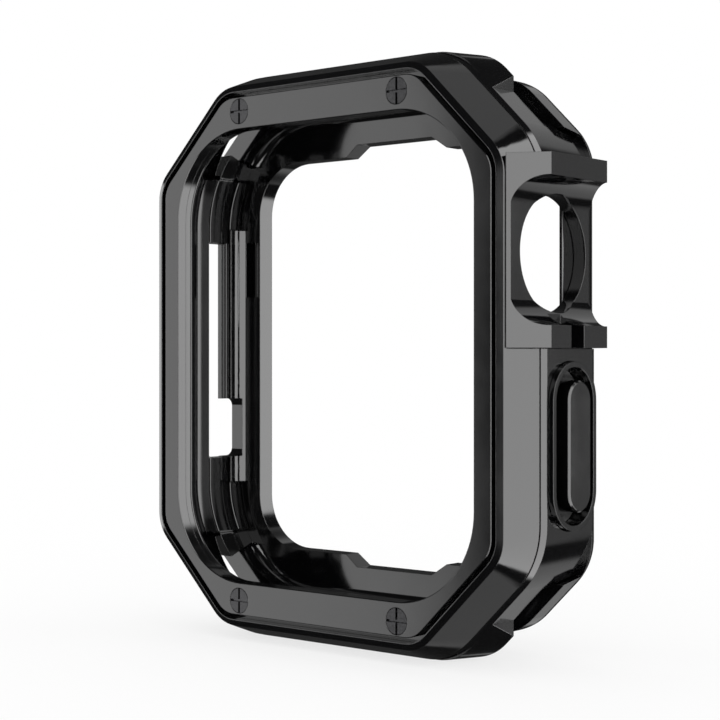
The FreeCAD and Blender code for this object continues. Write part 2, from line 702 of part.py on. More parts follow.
def build_face_plate():
    """Flat octagonal ring with countersunk screw seats and eased edges."""
    body = new_body("face_plate")
    sketch = ring_sketch(body, "plate_outline", "Places.front_y", outline("plate"), OPENING)
    pad(body, sketch, "Sizes.plate_thickness")
    front = value("Places.front_y")
    edges = edges_where(body, lambda edge: flat_at(edge, "Y", front))
    bevel(body, edges, "Sizes.plate_bevel", "plate_eased")
    for corner, (sx, sz) in FACE_SCREWS.items():
        spot = face_screw_spot(sx, sz, "Places.front_y")
        head, shank = f"Sizes.face_head_radius + {FIT}", f"Sizes.face_shank_radius + {FIT}"
        drill(body, f"head_seat_{corner}", spot, "y", "Sizes.face_head_height", head)
        drill(body, f"shank_hole_{corner}", spot, "y", "Sizes.plate_thickness", shank)
    return body


def build_screw(name, spot, axis, head, shank, slots_at):
    """Cross-slotted screw: a flat head, then a shank, from its head end along an axis."""
    body = new_body(name)
    head_radius, head_height = head
    shank_radius, length = shank
    drill(body, name + "_head", spot, axis, head_height, head_radius, additive=True)
    drill(body, name + "_shank", spot, axis, length, shank_radius, additive=True)
    along = "xyz".index(axis)
    for cross in "xyz":
        if cross == axis:
            continue
        low, high = [None] * 3, [None] * 3
        for index, letter in enumerate("xyz"):
            reach = head_radius if letter == cross else "Sizes.slot_width / 2"
            low[index] = f"{spot[index]} - {reach}"
            high[index] = f"{spot[index]} + {reach}"
        low[along], high[along] = slots_at
        block(body, f"{name}_slot_{cross}", low, high)
    return body


def build_face_screws():
    for corner, (sx, sz) in FACE_SCREWS.items():
        build_screw(
            f"face_screw_{corner}",
            face_screw_spot(sx, sz, "Places.front_y"),
            "y",
            ("Sizes.face_head_radius", "(Sizes.face_head_height)"),
            ("Sizes.face_shank_radius", "Sizes.face_screw_length"),
            ("Places.front_y", "Places.front_y + Sizes.slot_depth"),
        )


def build_corner_screws():
    """Long screws from the back, whose heads lie sunk in the back frame."""
    for corner, (sx, sz) in FACE_SCREWS.items():
        body = new_body(f"corner_screw_{corner}")
        name = body.Name
        x, z = f"{sx} * Places.screw_x", f"Places.mid_z + {sz} * Places.screw_z"
        tip, seat = "Places.screw_tip_y", "Places.screw_seat_y"
        shank, head = "Sizes.corner_shank_radius", "Sizes.corner_head_radius"
        drill(body, name + "_shank", (x, tip, z), "y", "Places.screw_length", shank, True)
        drill(body, name + "_head", (x, seat, z), "y", "Sizes.corner_head_height", head, True)
        end = f"{seat} + Sizes.corner_head_height"
        half, arm = "Sizes.slot_width / 2", "Sizes.corner_head_radius"
        for cross, across, up in (("x", arm, half), ("z", half, arm)):
            low = (f"{x} - {across}", f"{end} - Sizes.slot_depth", f"{z} - {up}")
            block(body, f"{name}_slot_{cross}", low, (f"{x} + {across}", end, f"{z} + {up}"))


def build_gasket():
    """Soft ring between the bumper's lip and the watch's glass."""
    body = new_body("screen_gasket")
    sketch = front_sketch(body, "gasket_outline", "Places.lip_y")
    rectangle(sketch, "Places.gasket_out_w", "Places.gasket_out_h", "Places.gasket_out_round", "outer")
    rectangle(sketch, "Places.gasket_in_w", "Places.gasket_in_h", "Places.gasket_in_round", "inner")
    pad(body, sketch, "Sizes.gasket_thickness")
    if value("Places.gasket_out_w") > value("Places.guard_plate_x"):
        guard_window(body, "Places.lip_y + " + FIT, "Places.parting_y", "Places.guard_plate_x - " + FIT)
    return body


def side_slice(body, name, corners):
    """Cut through the whole width of the case along an outline seen from its side."""
    sketch = side_sketch(body, name, None, "Places.mid_z", "-Places.beyond_w")
    chain(sketch, corners)
    pocket(body, sketch, "2 * Places.beyond_w", True)


def strap_cuts(body):
    """Open the frame behind its end bars, where the rails run out in slanted tips."""
    for sign, name in (("", "top"), ("-", "bottom")):
        corners = [
            ("Places.end_bar_y", sign + "Places.rail_tip_z"),
            ("Places.rail_y", sign + "Places.rail_end_z"),
            ("Places.beyond_rail_y", sign + "Places.rail_end_z"),
            ("Places.beyond_rail_y", sign + "Places.beyond_h"),
            ("Places.end_bar_y", sign + "Places.beyond_h"),
        ]
        side_slice(body, "strap_gap_" + name, corners)


def rail_tip_room(body):
    """Room in the back frame for the slanted tips of the rails."""
    for sign, name in (("", "top"), ("-", "bottom")):
        corners = [
            ("Places.end_bar_y", sign + "Places.rail_room_tip_z"),
            ("Places.rail_y", sign + "Places.rail_room_end_z"),
            ("Places.rail_y", sign + "Places.spigot_z"),
            ("Places.end_bar_y", sign + "Places.spigot_z"),
        ]
        side_slice(body, "rail_tip_room_" + name, corners)


def build_middle_frame():
    """Ring of two side rails and two end bars, with every opening in its walls."""
    body = new_body("middle_frame")
    thin = front_sketch(body, "shoulder_thin", "Places.step_y")
    octagon(thin, "Places.half_w", "Places.shoulder_h", "Places.reach", "Sizes.shoulder_round")
    full = front_sketch(body, "shoulder_full", "Places.end_bar_y")
    octagon(full, "Places.half_w", "Places.shoulder_h", "Places.shoulder_reach", "Sizes.shoulder_round")
    loft(body, [thin, full], True, "shoulders")
    front, back = "Places.parting_y", "Places.back_y"
    low_z, high_z = "Places.mid_z - Places.beyond_h", "Places.mid_z + Places.beyond_h"
    block(body, "shoulder_end_right", ("Places.shoulder_w", front, low_z), ("Places.beyond_w", back, high_z))
    block(body, "shoulder_end_left", ("-Places.beyond_w", front, low_z), ("-Places.shoulder_w", back, high_z))
    low = front_sketch(body, "frame_step", "Places.parting_y")
    octagon(low, *outline("bump"))
    wide = front_sketch(body, "frame_wide", "Places.step_y")
    octagon(wide, *OUTER)
    loft(body, [low, wide], True, "frame_shoulder")
    rail = front_sketch(body, "frame_rail", "Places.step_y")
    octagon(rail, *OUTER)
    pad(body, rail, "Places.rail_y - Places.step_y")
    hollow = front_sketch(body, "frame_hollow", "Places.parting_y")
    rectangle(hollow, "Places.liner_w", "Places.cavity_h", "Places.liner_round")
    pocket(body, hollow, "Sizes.case_depth", False)
    strap_cuts(body)
    near = front_sketch(body, "relief_near", "Places.relief_y")
    rectangle(near, "Places.liner_w", "Places.cavity_h", "Places.liner_round")
    far = front_sketch(body, "relief_far", "Places.end_bar_y")
    rectangle(far, "Places.liner_w", "Places.relief_h", "Places.liner_round")
    loft(body, [near, far], False, "strap_relief")
    block(
        body,
        "spigot_rebate",
        ("-Places.rebate_w", f"Places.spigot_y - {FIT}", f"Places.mid_z - Places.spigot_z - {FIT}"),
        ("Places.rebate_w", "Places.rail_y + " + OVER, f"Places.mid_z + Places.spigot_z + {FIT}"),
    )
    shank = f"Sizes.corner_shank_radius + {FIT}"
    corner_holes(body, "Places.parting_y", "Sizes.case_depth", shank, "corner_hole")
    cut_speaker(body)
    cut_scoop(body, "narrow", "Places.speaker_top_z")
    cut_scoop(body, "wide", "Places.speaker_step_z")
    ahead, behind = "Places.parting_y - " + OVER, "Places.rail_y + " + OVER
    guard_cuts(body, ahead, behind, "Places.guard_seat_x")
    guard_window(body, ahead, behind, "Places.guard_plate_x - " + OVER)
    cut_guard_fixings(body)
    cut_button(body)
    return body


def cut_speaker(body, upper=True):
    """Long slot in the left wall, wide and rounded at its lower part, narrow in its upper part."""
    middle = ("Places.speaker_wide_y", "Places.speaker_wide_z", "-Places.beyond_w")
    wide = side_sketch(body, "speaker_wide", *middle)
    rectangle(wide, "Places.speaker_wide_half", "Places.speaker_wide_rise", "Sizes.speaker_round")
    pocket(body, wide, "Places.beyond_w - Places.speaker_end", True)
    if upper:
        low = ("-Places.beyond_w", "Places.speaker_y", "Places.speaker_step_z - Sizes.speaker_round")
        high = ("-Places.speaker_end", "Places.speaker_y + Sizes.speaker_narrow", "Places.speaker_top_z")
        block(body, "speaker_narrow", low, high)


def cut_scoop(body, part, top):
    """Scoop outside one part of the speaker slot, with a rear wall that slants outwards."""
    low = "Places.speaker_low_z - Sizes.scoop_margin"
    section = new_sketch(body, "XY_Plane", part + "_scoop", (None, None, low))
    corners = [
        ("-Places.beyond_w", "Places.speaker_y"),
        (f"-Places.{part}_floor", "Places.speaker_y"),
        (f"-Places.{part}_floor", f"Places.{part}_back_y"),
        ("-Places.beyond_w", f"Places.{part}_mouth_y"),
    ]
    chain(section, corners)
    pocket(body, section, f"{top} + Sizes.scoop_margin - ({low})", True)


def cut_guard_fixings(body):
    """Screw holes behind the guard's arms and the sound hole for the microphone."""
    for sign, name in ((1, "upper"), (-1, "lower")):
        z = guard_screw_z(sign)
        start = ("Places.liner_w - " + OVER, "Places.guard_screw_y", z)
        shank = f"Sizes.guard_shank_radius + {FIT}"
        drill(body, f"guard_hole_{name}", start, "x", "Sizes.side_wall + " + OVER, shank)
        reach = f"{OVER} + Sizes.guard_head_height"
        drill(body, f"guard_head_seat_{name}", start, "x", reach, f"Sizes.guard_head_radius + {FIT}")
    start = ("Places.liner_w - " + OVER, "Places.mic_y", "Places.mic_z")
    drill(body, "sound_hole", start, "x", "Sizes.side_wall + 2 * " + OVER, "Sizes.mic_hole_radius")


def guard_screw_z(sign):
    """Height of a guard screw, set in from the end of the guard."""
    return f"Places.crown_z + {sign} * (Places.guard_half_height - Sizes.guard_screw_inset)"


def cut_button(body):
    """Seat of the button's collar, and the hole of its push rod."""
    seat = side_sketch(body, "collar_seat", "Places.button_y", "Places.button_z", "Places.collar_root_x")
    obround(seat, "Places.collar_width", "Places.collar_height", "-Sizes.fit_gap")
    pocket(body, seat, "Sizes.case_depth", True)
    hole = side_sketch(body, "push_rod_hole", "Places.button_y", "Places.button_z", "Places.cavity_w")
    obround(hole, "Sizes.push_rod_width", "Places.push_rod_height", "-Sizes.running_gap")
    pocket(body, hole, "Sizes.case_depth", True)


def build_back_frame():
    """Ring that closes the back: end bars, a lip behind a slope and a spigot inside the rails."""
    body = new_body("back_frame")
    base = front_sketch(body, "back_base", "Places.back_bar_y")
    octagon(base, "Places.back_w", "Places.back_h", "Places.back_reach", "Places.back_round_corner")
    pad(body, base, "Places.back_y - Places.back_bar_y")
    back = value("Places.back_y")
    edges = edges_where(body, lambda edge: flat_at(edge, "Y", back))
    bevel(body, edges, "Sizes.back_round", "back_rounded", "Fillet")
    wide = front_sketch(body, "slope_start", "Places.slope_y")
    rectangle(wide, *CAVITY)
    narrow = front_sketch(body, "slope_end", "Places.lip_front_y")
    rectangle(narrow, "Places.lip_w", "Places.lip_h", "Places.lip_round")
    loft(body, [wide, narrow], False, "lip_slope")
    mouth = front_sketch(body, "lip_mouth", "Places.slope_y")
    rectangle(mouth, *CAVITY)
    pocket(body, mouth, "Sizes.case_depth", True)
    root = value("Places.slope_y")
    edges = edges_where(body, lambda edge: flat_at(edge, "Y", root))
    bevel(body, edges, "Sizes.lip_root_round", "lip_root_rounded", "Fillet")
    window = front_sketch(body, "back_window", "Places.back_bar_y")
    rectangle(window, "Places.lip_w", "Places.lip_h", "Places.lip_round")
    pocket(body, window, "Sizes.case_depth", False)
    far = "Places.half_w + " + OVER
    low_z, high_z = "Places.mid_z - Places.rail_end_z - " + FIT, "Places.mid_z + Places.rail_end_z + " + FIT
    ahead = "Places.back_bar_y - " + OVER
    block(body, "rail_room_right", ("Places.spigot_w", ahead, low_z), (far, "Places.rail_y", high_z))
    block(body, "rail_room_left", (f"-({far})", ahead, low_z), ("-Places.spigot_w", "Places.rail_y", high_z))
    rail_tip_room(body)
    block(body, "liner_room", (f"-({far})", ahead, low_z), (far, "Places.spigot_y", high_z))
    cut_releases(body)
    cut_speaker(body, upper=False)
    cut_scoop(body, "wide", "Places.speaker_step_z")
    pocket_low = "Places.mid_z + Sizes.lip_pocket_centre - Sizes.lip_pocket_length / 2"
    pocket_end = "Places.lip_front_y + Sizes.lip_pocket_depth - Sizes.fit_gap"
    block(
        body,
        "lip_pocket",
        ("-Places.lip_w - Sizes.lip_pocket_width", "Places.spigot_y", pocket_low),
        ("-Places.lip_w - " + FIT, pocket_end, pocket_low + " + Sizes.lip_pocket_length"),
    )
    start, shank = "Places.back_bar_y - " + OVER, f"Sizes.corner_shank_radius + {FIT}"
    corner_holes(body, start, "Sizes.case_depth", shank, "corner_hole")
    head = f"Sizes.corner_head_radius + {FIT}"
    corner_holes(body, "Places.screw_seat_y", "Sizes.case_depth", head, "head_seat")
    guard_cuts(body, "Places.back_bar_y - " + OVER, f"Places.guard_rear_y + {FIT}")
    plate_end = f"Places.crown_y + Places.crown_radius + {RUN} + {FIT}"
    guard_window(body, "Places.back_bar_y - " + OVER, plate_end, "Places.guard_plate_x - " + FIT)
    half = "Places.window_half_height"
    low = ("Places.lip_w - " + OVER, "Places.spigot_y", "Places.crown_z - " + half)
    high = ("Places.lip_w + Sizes.lip_crown_relief", "Places.back_y + " + OVER, "Places.crown_z + " + half)
    block(body, "lip_behind_crown", low, high)
    return body


def cut_releases(body):
    """Sloped notches in the lip over the watch's strap release buttons."""
    for sign, name in ((1, "top"), (-1, "bottom")):
        sketch = new_sketch(body, "XZ_Plane", f"release_{name}", (None, "Places.mid_z", "-(Places.spigot_y)"))
        half, ramp = value("Sizes.release_half_width"), value("Sizes.release_ramp")
        low, rise = value("Places.lip_h"), value("Sizes.release_height")
        spots = [(-half - ramp, low - rise), (half + ramp, low - rise)]
        spots += [(half + ramp, low), (half, low + rise)]
        spots += [(-half, low + rise), (-half - ramp, low)]
        outer = "Sizes.release_half_width + Sizes.release_ramp"
        base, crest = "Places.lip_h", "Places.lip_h + Sizes.release_height"
        under = "Places.lip_h - Sizes.release_height"
        texts = [(f"-({outer})", under), (outer, under), (outer, base), ("Sizes.release_half_width", crest)]
        texts += [("-Sizes.release_half_width", crest), (f"-({outer})", base)]
        points = [Vector(x, sign * z, 0) for x, z in spots]
        count = len(points)
        for index in range(count):
            sketch.addGeometry(Part.LineSegment(points[index], points[(index + 1) % count]), False)
        for index in range(count):
            sketch.addConstraint(Sketcher.Constraint("Coincident", index, 2, (index + 1) % count, 1))
        for index, (px, pz) in enumerate(texts):
            dimension(sketch, "DistanceX", (-1, 1, index, 1), points[index].x, f"point_x{index}", px)
            height = pz if sign > 0 else f"-({pz})"
            dimension(sketch, "DistanceY", (-1, 1, index, 1), points[index].y, f"point_y{index}", height)
        pocket(body, sketch, "Sizes.case_depth", False)


def build_liner(name, sign):
    """Soft strip that lines one side wall from strap slot to strap slot."""
    body = new_body(name)
    sketch = front_sketch(body, name + "_ring", "Places.parting_y")
    rectangle(sketch, "Places.liner_out_w", "Places.cavity_h", "Places.liner_round", "outer")
    rectangle(sketch, "Places.cavity_w", "Places.cavity_h_less", "Sizes.watch_corner", "inner")
    pad(body, sketch, "Places.spigot_y - Places.parting_y - 2 * " + FIT)
    far = "Places.half_h + " + OVER
    side = "Places.half_w + " + OVER
    start, stop = ("Places.mid_x", side) if sign < 0 else (f"-({side})", "Places.mid_x")
    bottom, top = f"Places.mid_z - ({far})", f"Places.mid_z + {far}"
    block(body, name + "_other_side", (start, "Places.front_y", bottom), (stop, "Places.back_y", top))
    above, below = "Places.mid_z + Places.liner_end_z", "Places.mid_z - Places.liner_end_z"
    ends = (("top", above, top), ("bottom", bottom, below))
    for end, low, high in ends:
        block(body, f"{name}_{end}", (f"-({side})", "Places.front_y", low), (side, "Places.back_y", high))
    if sign < 0:
        cut_speaker(body)
        return body
    window = f"Places.crown_z - Places.window_half_height - {FIT}"
    block(body, "guard_end", ("Places.mid_x", "Places.front_y", window), (side, "Places.back_y", top))
    start = ("Places.cavity_w - " + OVER, "Places.mic_y", "Places.mic_z")
    drill(body, "liner_sound_hole", start, "x", "Sizes.side_wall + 2 * " + OVER, "Sizes.mic_hole_radius")
    middle = ("Places.button_y", "Places.button_z", "Places.cavity_w - " + OVER)
    hole = side_sketch(body, "liner_rod_hole", *middle)
    obround(hole, "Sizes.push_rod_width", "Places.push_rod_height", "-Sizes.running_gap")
    pocket(body, hole, "Sizes.case_depth", True)
    return body


def build_crown_guard():
    """Guard with two arms and a dish round the hole for the watch's crown."""
    body = new_body("crown_guard")
    section = new_sketch(body, "XY_Plane", "guard_section", (None, None, "Places.guard_low_z"))
    corners = [
        ("Places.guard_root_x", "Places.guard_front_y"),
        ("Places.guard_face_x", "Places.guard_slope_y"),
        ("Places.guard_face_x", "Places.guard_rear_start_y"),
        ("Places.guard_floor_x", "Places.guard_rear_y"),
        ("Places.guard_root_x", "Places.guard_rear_y"),
    ]
    chain(section, corners)
    pad(body, section, "2 * Places.guard_half_height", onward=False)
    half = "Places.window_half_height"
    plate_end = f"Places.crown_y + Places.crown_radius + {RUN}"
    block(
        body,
        "guard_plate",
        ("Places.guard_plate_x", "Places.lip_y + 2 * " + FIT, f"Places.crown_z - {half}"),
        ("Places.guard_root_x + " + FIT, plate_end, f"Places.crown_z + {half}"),
        additive=True,
    )
    low, high = "Places.guard_low_z", "Places.guard_low_z + 2 * Places.guard_half_height"
    start, stop = "Places.guard_root_x - " + OVER, f"Places.guard_seat_x + {FIT}"
    front, back = "Places.parting_y", "Places.rail_y"
    block(body, "lower_seat", (start, front, f"{low} - {OVER}"), (stop, back, f"Places.crown_z - {half}"))
    block(body, "upper_seat", (start, front, f"Places.crown_z + {half}"), (stop, back, f"{high} + {OVER}"))
    dish_sketch(body)
    hole = ("Places.cavity_w - " + OVER, "Places.crown_y", "Places.crown_z")
    drill(body, "crown_hole", hole, "x", "2 * Sizes.case_depth", "Places.crown_radius")
    notch = "Sizes.mic_notch_width / 2"
    dish_low = "Places.crown_z - Places.dish_floor_half_height"
    block(
        body,
        "sound_notch",
        ("Places.guard_seat_x", f"Places.mic_y - {notch}", f"{low} - {OVER}"),
        ("Places.guard_face_x + " + OVER, f"Places.mic_y + {notch}", dish_low),
    )
    for sign, name in ((1, "upper"), (-1, "lower")):
        start = ("Places.guard_seat_x", "Places.guard_screw_y", guard_screw_z(sign))
        wall = "Sizes.side_wall - Sizes.guard_arm_seat - Sizes.liner_thickness"
        reach = f"Sizes.guard_screw_length - ({wall}) + {FIT}"
        drill(body, f"guard_thread_{name}", start, "x", reach, f"Sizes.guard_shank_radius + {FIT}")
    return body


def dish_sketch(body):
    """Scoop right through the guard from front to back: a flat floor and two bowed sides."""
    ahead = "-(Places.front_y - Sizes.cut_over)"
    sketch = new_sketch(body, "XZ_Plane", "dish", (None, "Places.crown_z", ahead))
    floor_x, face_x = value("Places.guard_floor_x"), value("Places.guard_face_x")
    low, high = value("Places.dish_floor_half_height"), value("Places.dish_mouth_half_height")
    over = value("Sizes.cut_over")
    bulge = value("Sizes.dish_bulge")
    middle = Vector((floor_x + face_x) / 2 - bulge / 2, (low + high) / 2 + bulge, 0)
    floor_up, floor_down = Vector(floor_x, low, 0), Vector(floor_x, -low, 0)
    mouth_up, mouth_down = Vector(face_x, high, 0), Vector(face_x, -high, 0)
    far_up, far_down = Vector(face_x + over, high, 0), Vector(face_x + over, -high, 0)
    mirrored = Vector(middle.x, -middle.y, 0)
    sketch.addGeometry(Part.LineSegment(floor_down, floor_up), False)
    sketch.addGeometry(Part.Arc(mouth_up, middle, floor_up), False)
    sketch.addGeometry(Part.LineSegment(mouth_up, far_up), False)
    sketch.addGeometry(Part.LineSegment(far_up, far_down), False)
    sketch.addGeometry(Part.LineSegment(far_down, mouth_down), False)
    sketch.addGeometry(Part.Arc(floor_down, mirrored, mouth_down), False)
    links = [(0, 2, 1, 2), (1, 1, 2, 1), (2, 2, 3, 1), (3, 2, 4, 1), (4, 2, 5, 2), (5, 1, 0, 1)]
    for link in links:
        sketch.addConstraint(Sketcher.Constraint("Coincident", *link))
    floor_text, face_text = "Places.guard_floor_x", "Places.guard_face_x"
    rise, mouth = "Places.dish_floor_half_height", "Places.dish_mouth_half_height"
    spots = [
        (0, 1, floor_down, floor_text, "-" + rise),
        (0, 2, floor_up, floor_text, rise),
        (2, 1, mouth_up, face_text, mouth),
        (3, 1, far_up, f"{face_text} + {OVER}", mouth),
        (3, 2, far_down, f"{face_text} + {OVER}", "-" + mouth),
        (5, 2, mouth_down, face_text, "-" + mouth),
    ]
    for index, (line, end, spot, px, py) in enumerate(spots):
        dimension(sketch, "DistanceX", (-1, 1, line, end), spot.x, f"dish_x{index}", px)
        dimension(sketch, "DistanceY", (-1, 1, line, end), spot.y, f"dish_y{index}", py)
    sketch.addConstraint(Sketcher.Constraint("Equal", 1, 5))
    pocket(body, sketch, "2 * Sizes.case_depth", False)


def build_guard_screws():
    """Short screws from inside the frame into the guard's arms."""
    for sign, name in ((1, "upper"), (-1, "lower")):
        spot = (f"Places.liner_w", "Places.guard_screw_y", guard_screw_z(sign))
        build_screw(
            f"guard_screw_{name}",
            spot,
            "x",
            ("Sizes.guard_head_radius", "Sizes.guard_head_height"),
            ("Sizes.guard_shank_radius", "Sizes.guard_screw_length"),
            ("Places.liner_w", "Places.liner_w + Sizes.slot_depth"),
        )


def build_button():
    """Collar, soft membrane, cap and push rod of the side button."""
    collar = new_body("button_collar")
    sketch = side_sketch(collar, "collar_ring", "Places.button_y", "Places.button_z", "Places.collar_root_x")
    obround(sketch, "Places.collar_width", "Places.collar_height", tag="outer")
    obround(sketch, "Places.collar_width", "Places.collar_height", "Sizes.collar_wall", tag="inner")
    pad(collar, sketch, "Places.collar_face_x - Places.collar_root_x", onward=False)
    membrane = new_body("button_membrane")
    middle = ("Places.button_y", "Places.button_z", "Places.collar_root_x")
    sketch = side_sketch(membrane, "membrane_outline", *middle)
    obround(sketch, "Places.collar_width", "Places.collar_height", "Sizes.membrane_shrink", tag="outer")
    obround(sketch, "Sizes.push_rod_width", "Places.push_rod_height", "-Sizes.fit_gap", tag="inner")
    pad(membrane, sketch, "Sizes.membrane_thickness", onward=False)
    cap = new_body("button_cap")
    sketch = side_sketch(cap, "cap_outline", "Places.button_y", "Places.button_z", "Places.cap_foot_x")
    obround(sketch, "Places.cap_width", "Places.cap_height")
    pad(cap, sketch, "Places.cap_face_x - Places.cap_foot_x", onward=False)
    face = value("Places.cap_face_x")
    bevel(cap, edges_where(cap, lambda edge: flat_at(edge, "X", face)), "Sizes.cap_bevel", "cap_eased")
    rod = new_body("push_rod")
    sketch = side_sketch(rod, "rod_outline", "Places.button_y", "Places.button_z", "Places.push_rod_tip_x")
    obround(sketch, "Sizes.push_rod_width", "Places.push_rod_height")
    pad(rod, sketch, "Places.cap_foot_x - Places.push_rod_tip_x", onward=False)


build_front_bumper()
build_face_plate()
build_face_screws()
build_gasket()
build_middle_frame()
build_liner("left_liner", -1)
build_liner("right_liner", 1)
build_back_frame()
build_corner_screws()
build_crown_guard()
build_guard_screws()
build_button()
doc.recompute()

bodies = [item for item in doc.Objects if item.TypeId == "PartDesign::Body"]
for item in doc.Objects:
    if "Invalid" in item.State or "Error" in item.State:
        raise ValueError(f"{item.Label} did not build")
for body in bodies:
    if body.Shape.isNull() or not body.Shape.isValid() or not body.Shape.Solids:
        raise ValueError(f"{body.Label} has no valid shape")

os.makedirs("parts", exist_ok=True)
for body in bodies:
    body.Shape.exportStep(os.path.join("parts", body.Label + ".step"))
    print(f"{body.Label}: {len(body.Shape.Solids)} solid, {body.Shape.Volume:.2f} cubic mm")
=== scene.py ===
"""Looks of a rugged smartwatch case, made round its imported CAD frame.

Lengths are metres, in the frame of the CAD model: X towards the crown, Y towards the
wrist, Z up. Sizes in the settings are written in millimetres and turned to metres once.
"""

import math

import bmesh
import bpy
import numpy as np
from bpy.props import FloatProperty, FloatVectorProperty, IntProperty, PointerProperty
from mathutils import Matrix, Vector


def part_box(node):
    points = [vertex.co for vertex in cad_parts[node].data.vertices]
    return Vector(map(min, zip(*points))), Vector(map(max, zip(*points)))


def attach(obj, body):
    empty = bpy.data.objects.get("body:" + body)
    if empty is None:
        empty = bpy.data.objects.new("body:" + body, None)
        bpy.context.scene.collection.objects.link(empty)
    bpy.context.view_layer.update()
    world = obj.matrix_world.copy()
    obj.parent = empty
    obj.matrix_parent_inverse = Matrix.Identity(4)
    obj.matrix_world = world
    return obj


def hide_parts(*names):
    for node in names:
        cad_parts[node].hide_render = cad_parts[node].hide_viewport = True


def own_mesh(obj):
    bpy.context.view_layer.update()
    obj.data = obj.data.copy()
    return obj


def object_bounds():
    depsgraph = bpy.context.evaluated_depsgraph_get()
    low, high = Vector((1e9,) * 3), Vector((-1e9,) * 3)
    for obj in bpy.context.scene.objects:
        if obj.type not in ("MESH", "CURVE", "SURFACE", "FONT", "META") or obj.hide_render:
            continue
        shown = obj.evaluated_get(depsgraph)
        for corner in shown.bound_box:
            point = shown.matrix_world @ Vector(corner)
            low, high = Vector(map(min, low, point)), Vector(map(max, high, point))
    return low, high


bl_info = {
    "name": "Smartwatch Case",
    "version": (1, 0, 0),
    "blender": (4, 5, 0),
    "location": "View3D > Sidebar > Watch Case",
    "description": "Dresses the packed frame of a rugged smartwatch case",
    "category": "Object",
}

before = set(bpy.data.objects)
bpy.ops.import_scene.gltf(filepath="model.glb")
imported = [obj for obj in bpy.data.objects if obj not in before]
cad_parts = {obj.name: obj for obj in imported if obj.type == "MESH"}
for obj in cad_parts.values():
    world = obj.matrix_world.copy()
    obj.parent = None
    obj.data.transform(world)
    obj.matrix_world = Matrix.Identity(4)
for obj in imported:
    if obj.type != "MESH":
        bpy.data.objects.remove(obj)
cad_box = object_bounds()

MM = 0.001
WHITE = (1, 1, 1, 1)

WELD = 0.001 * MM  # points of a new mesh that lie closer than this are one point
SHARP_TURN = math.radians(40)  # faces that turn more than this meet in a sharp edge
ARC_SHARE = 0.999  # share of a corner's quarter circle that a lining may follow
BEAD_ROUNDING = 0.25  # rounding of the lining's bead, as a share of how far it stands in
GASKET_POINTS = 20  # points round the gasket's section
GASKET_POWER = 0.7  # one gives a round section, less gives a squarer one
FOLD_POINTS = 17  # points across the button's seal
FOLD_WAVES = 1.5  # half waves across the button's seal
EDGE_SAMPLES = 4  # samples of a rounded edge's shading
CLIP_START = 10 * MM  # nearest thing that the camera sees


def linear(hex_colour):
    """Linear RGBA of a hex colour, by the sRGB curve."""
    parts = [int(hex_colour[i : i + 2], 16) / 255 for i in (1, 3, 5)]
    return [p / 12.92 if p <= 0.04045 else ((p + 0.055) / 1.055) ** 2.4 for p in parts] + [1.0]


def node_span(name, axis):
    """Lowest and highest place of a CAD node along x, y or z."""
    low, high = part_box(name)
    index = "xyz".index(axis)
    return low[index], high[index]


def millimetres(name, description, default, least=0.0, most=100.0):
    """Length setting in millimetres."""
    return FloatProperty(
        name=name,
        description=description + ", in millimetres",
        default=default,
        min=least,
        max=most,
        precision=2,
    )


def tint(name, description, hex_colour):
    """Colour setting, given as sRGB hex and kept linear."""
    return FloatVectorProperty(
        name=name,
        description=description,
        subtype="COLOR",
        size=4,
        default=linear(hex_colour),
        min=0.0,
        max=1.0,
    )


class CaseFinish(bpy.types.PropertyGroup):
    """Colours and edges of the case's plastics, rubber and steel."""

    plastic: tint("Hard plastic", "Colour of the moulded polycarbonate", "#070708")
    rubber: tint("Rubber", "Colour of the linings, the gasket and the button's seal", "#0b0b0c")
    steel: tint("Screws", "Colour of the blackened steel", "#3a3a3b")
    edge: millimetres("Edge", "Rounding that the mould leaves on a sharp edge", 0.07, 0.0, 0.3)


class LiningSizes(bpy.types.PropertyGroup):
    """Steps of the soft linings inside the side walls."""

    watch_height: millimetres("Watch height", "Height of the space that the linings close in", 45.2)
    corner: millimetres("Corner", "Radius of the wall behind the linings at the corners", 10.3)
    thickness: millimetres("Thickness", "Thickness of the plain strips", 0.55)
    taper: FloatProperty(
        name="Taper",
        description="How much the plain strips thin towards the back, as a share of their depth",
        default=0.09,
        min=0.0,
        max=0.3,
        subtype="FACTOR",
    )
    bead: millimetres("Bead", "How far the front bead stands in past the plain strips", 0.45)
    bead_width: millimetres("Bead width", "Width of the bead along the depth", 1.1)
    land: millimetres("Land", "How far the flat land behind the bead stands in", 0.12)
    land_end: millimetres("Land end", "Where the land ends, from the lining's front", 1.9)
    step: millimetres("Step", "How far the lining steps back towards the slot", 0.12)
    slot_front: millimetres("Slot front", "Front of the speaker slot, from the case's front", 6.35)
    slot_back: millimetres("Slot back", "Back of the slot's narrow part", 8.55)
    slot_top: millimetres("Slot top", "Top of the slot, from the middle", 11.05)
    slot_step: millimetres("Slot step", "Where the slot widens, from the middle", -4.15, -30)
    slot_bottom: millimetres("Slot bottom", "Bottom of the slot, from the middle", -9.95, -30)
    corner_start: millimetres(
        "Corner start", "Where the back frame's inner wall ends, from the middle", 12.5
    )
    rod_room: millimetres("Rod room", "Room round the button's push rod", 0.35)
    sound_room: millimetres("Sound room", "Length left free at the microphone's hole", 1.75)
    gap: millimetres("Gap", "Clearance to the walls and size of a small rounding", 0.05)
    steps: IntProperty(
        name="Steps", description="Sections along one lining", default=96, min=8, max=200
    )


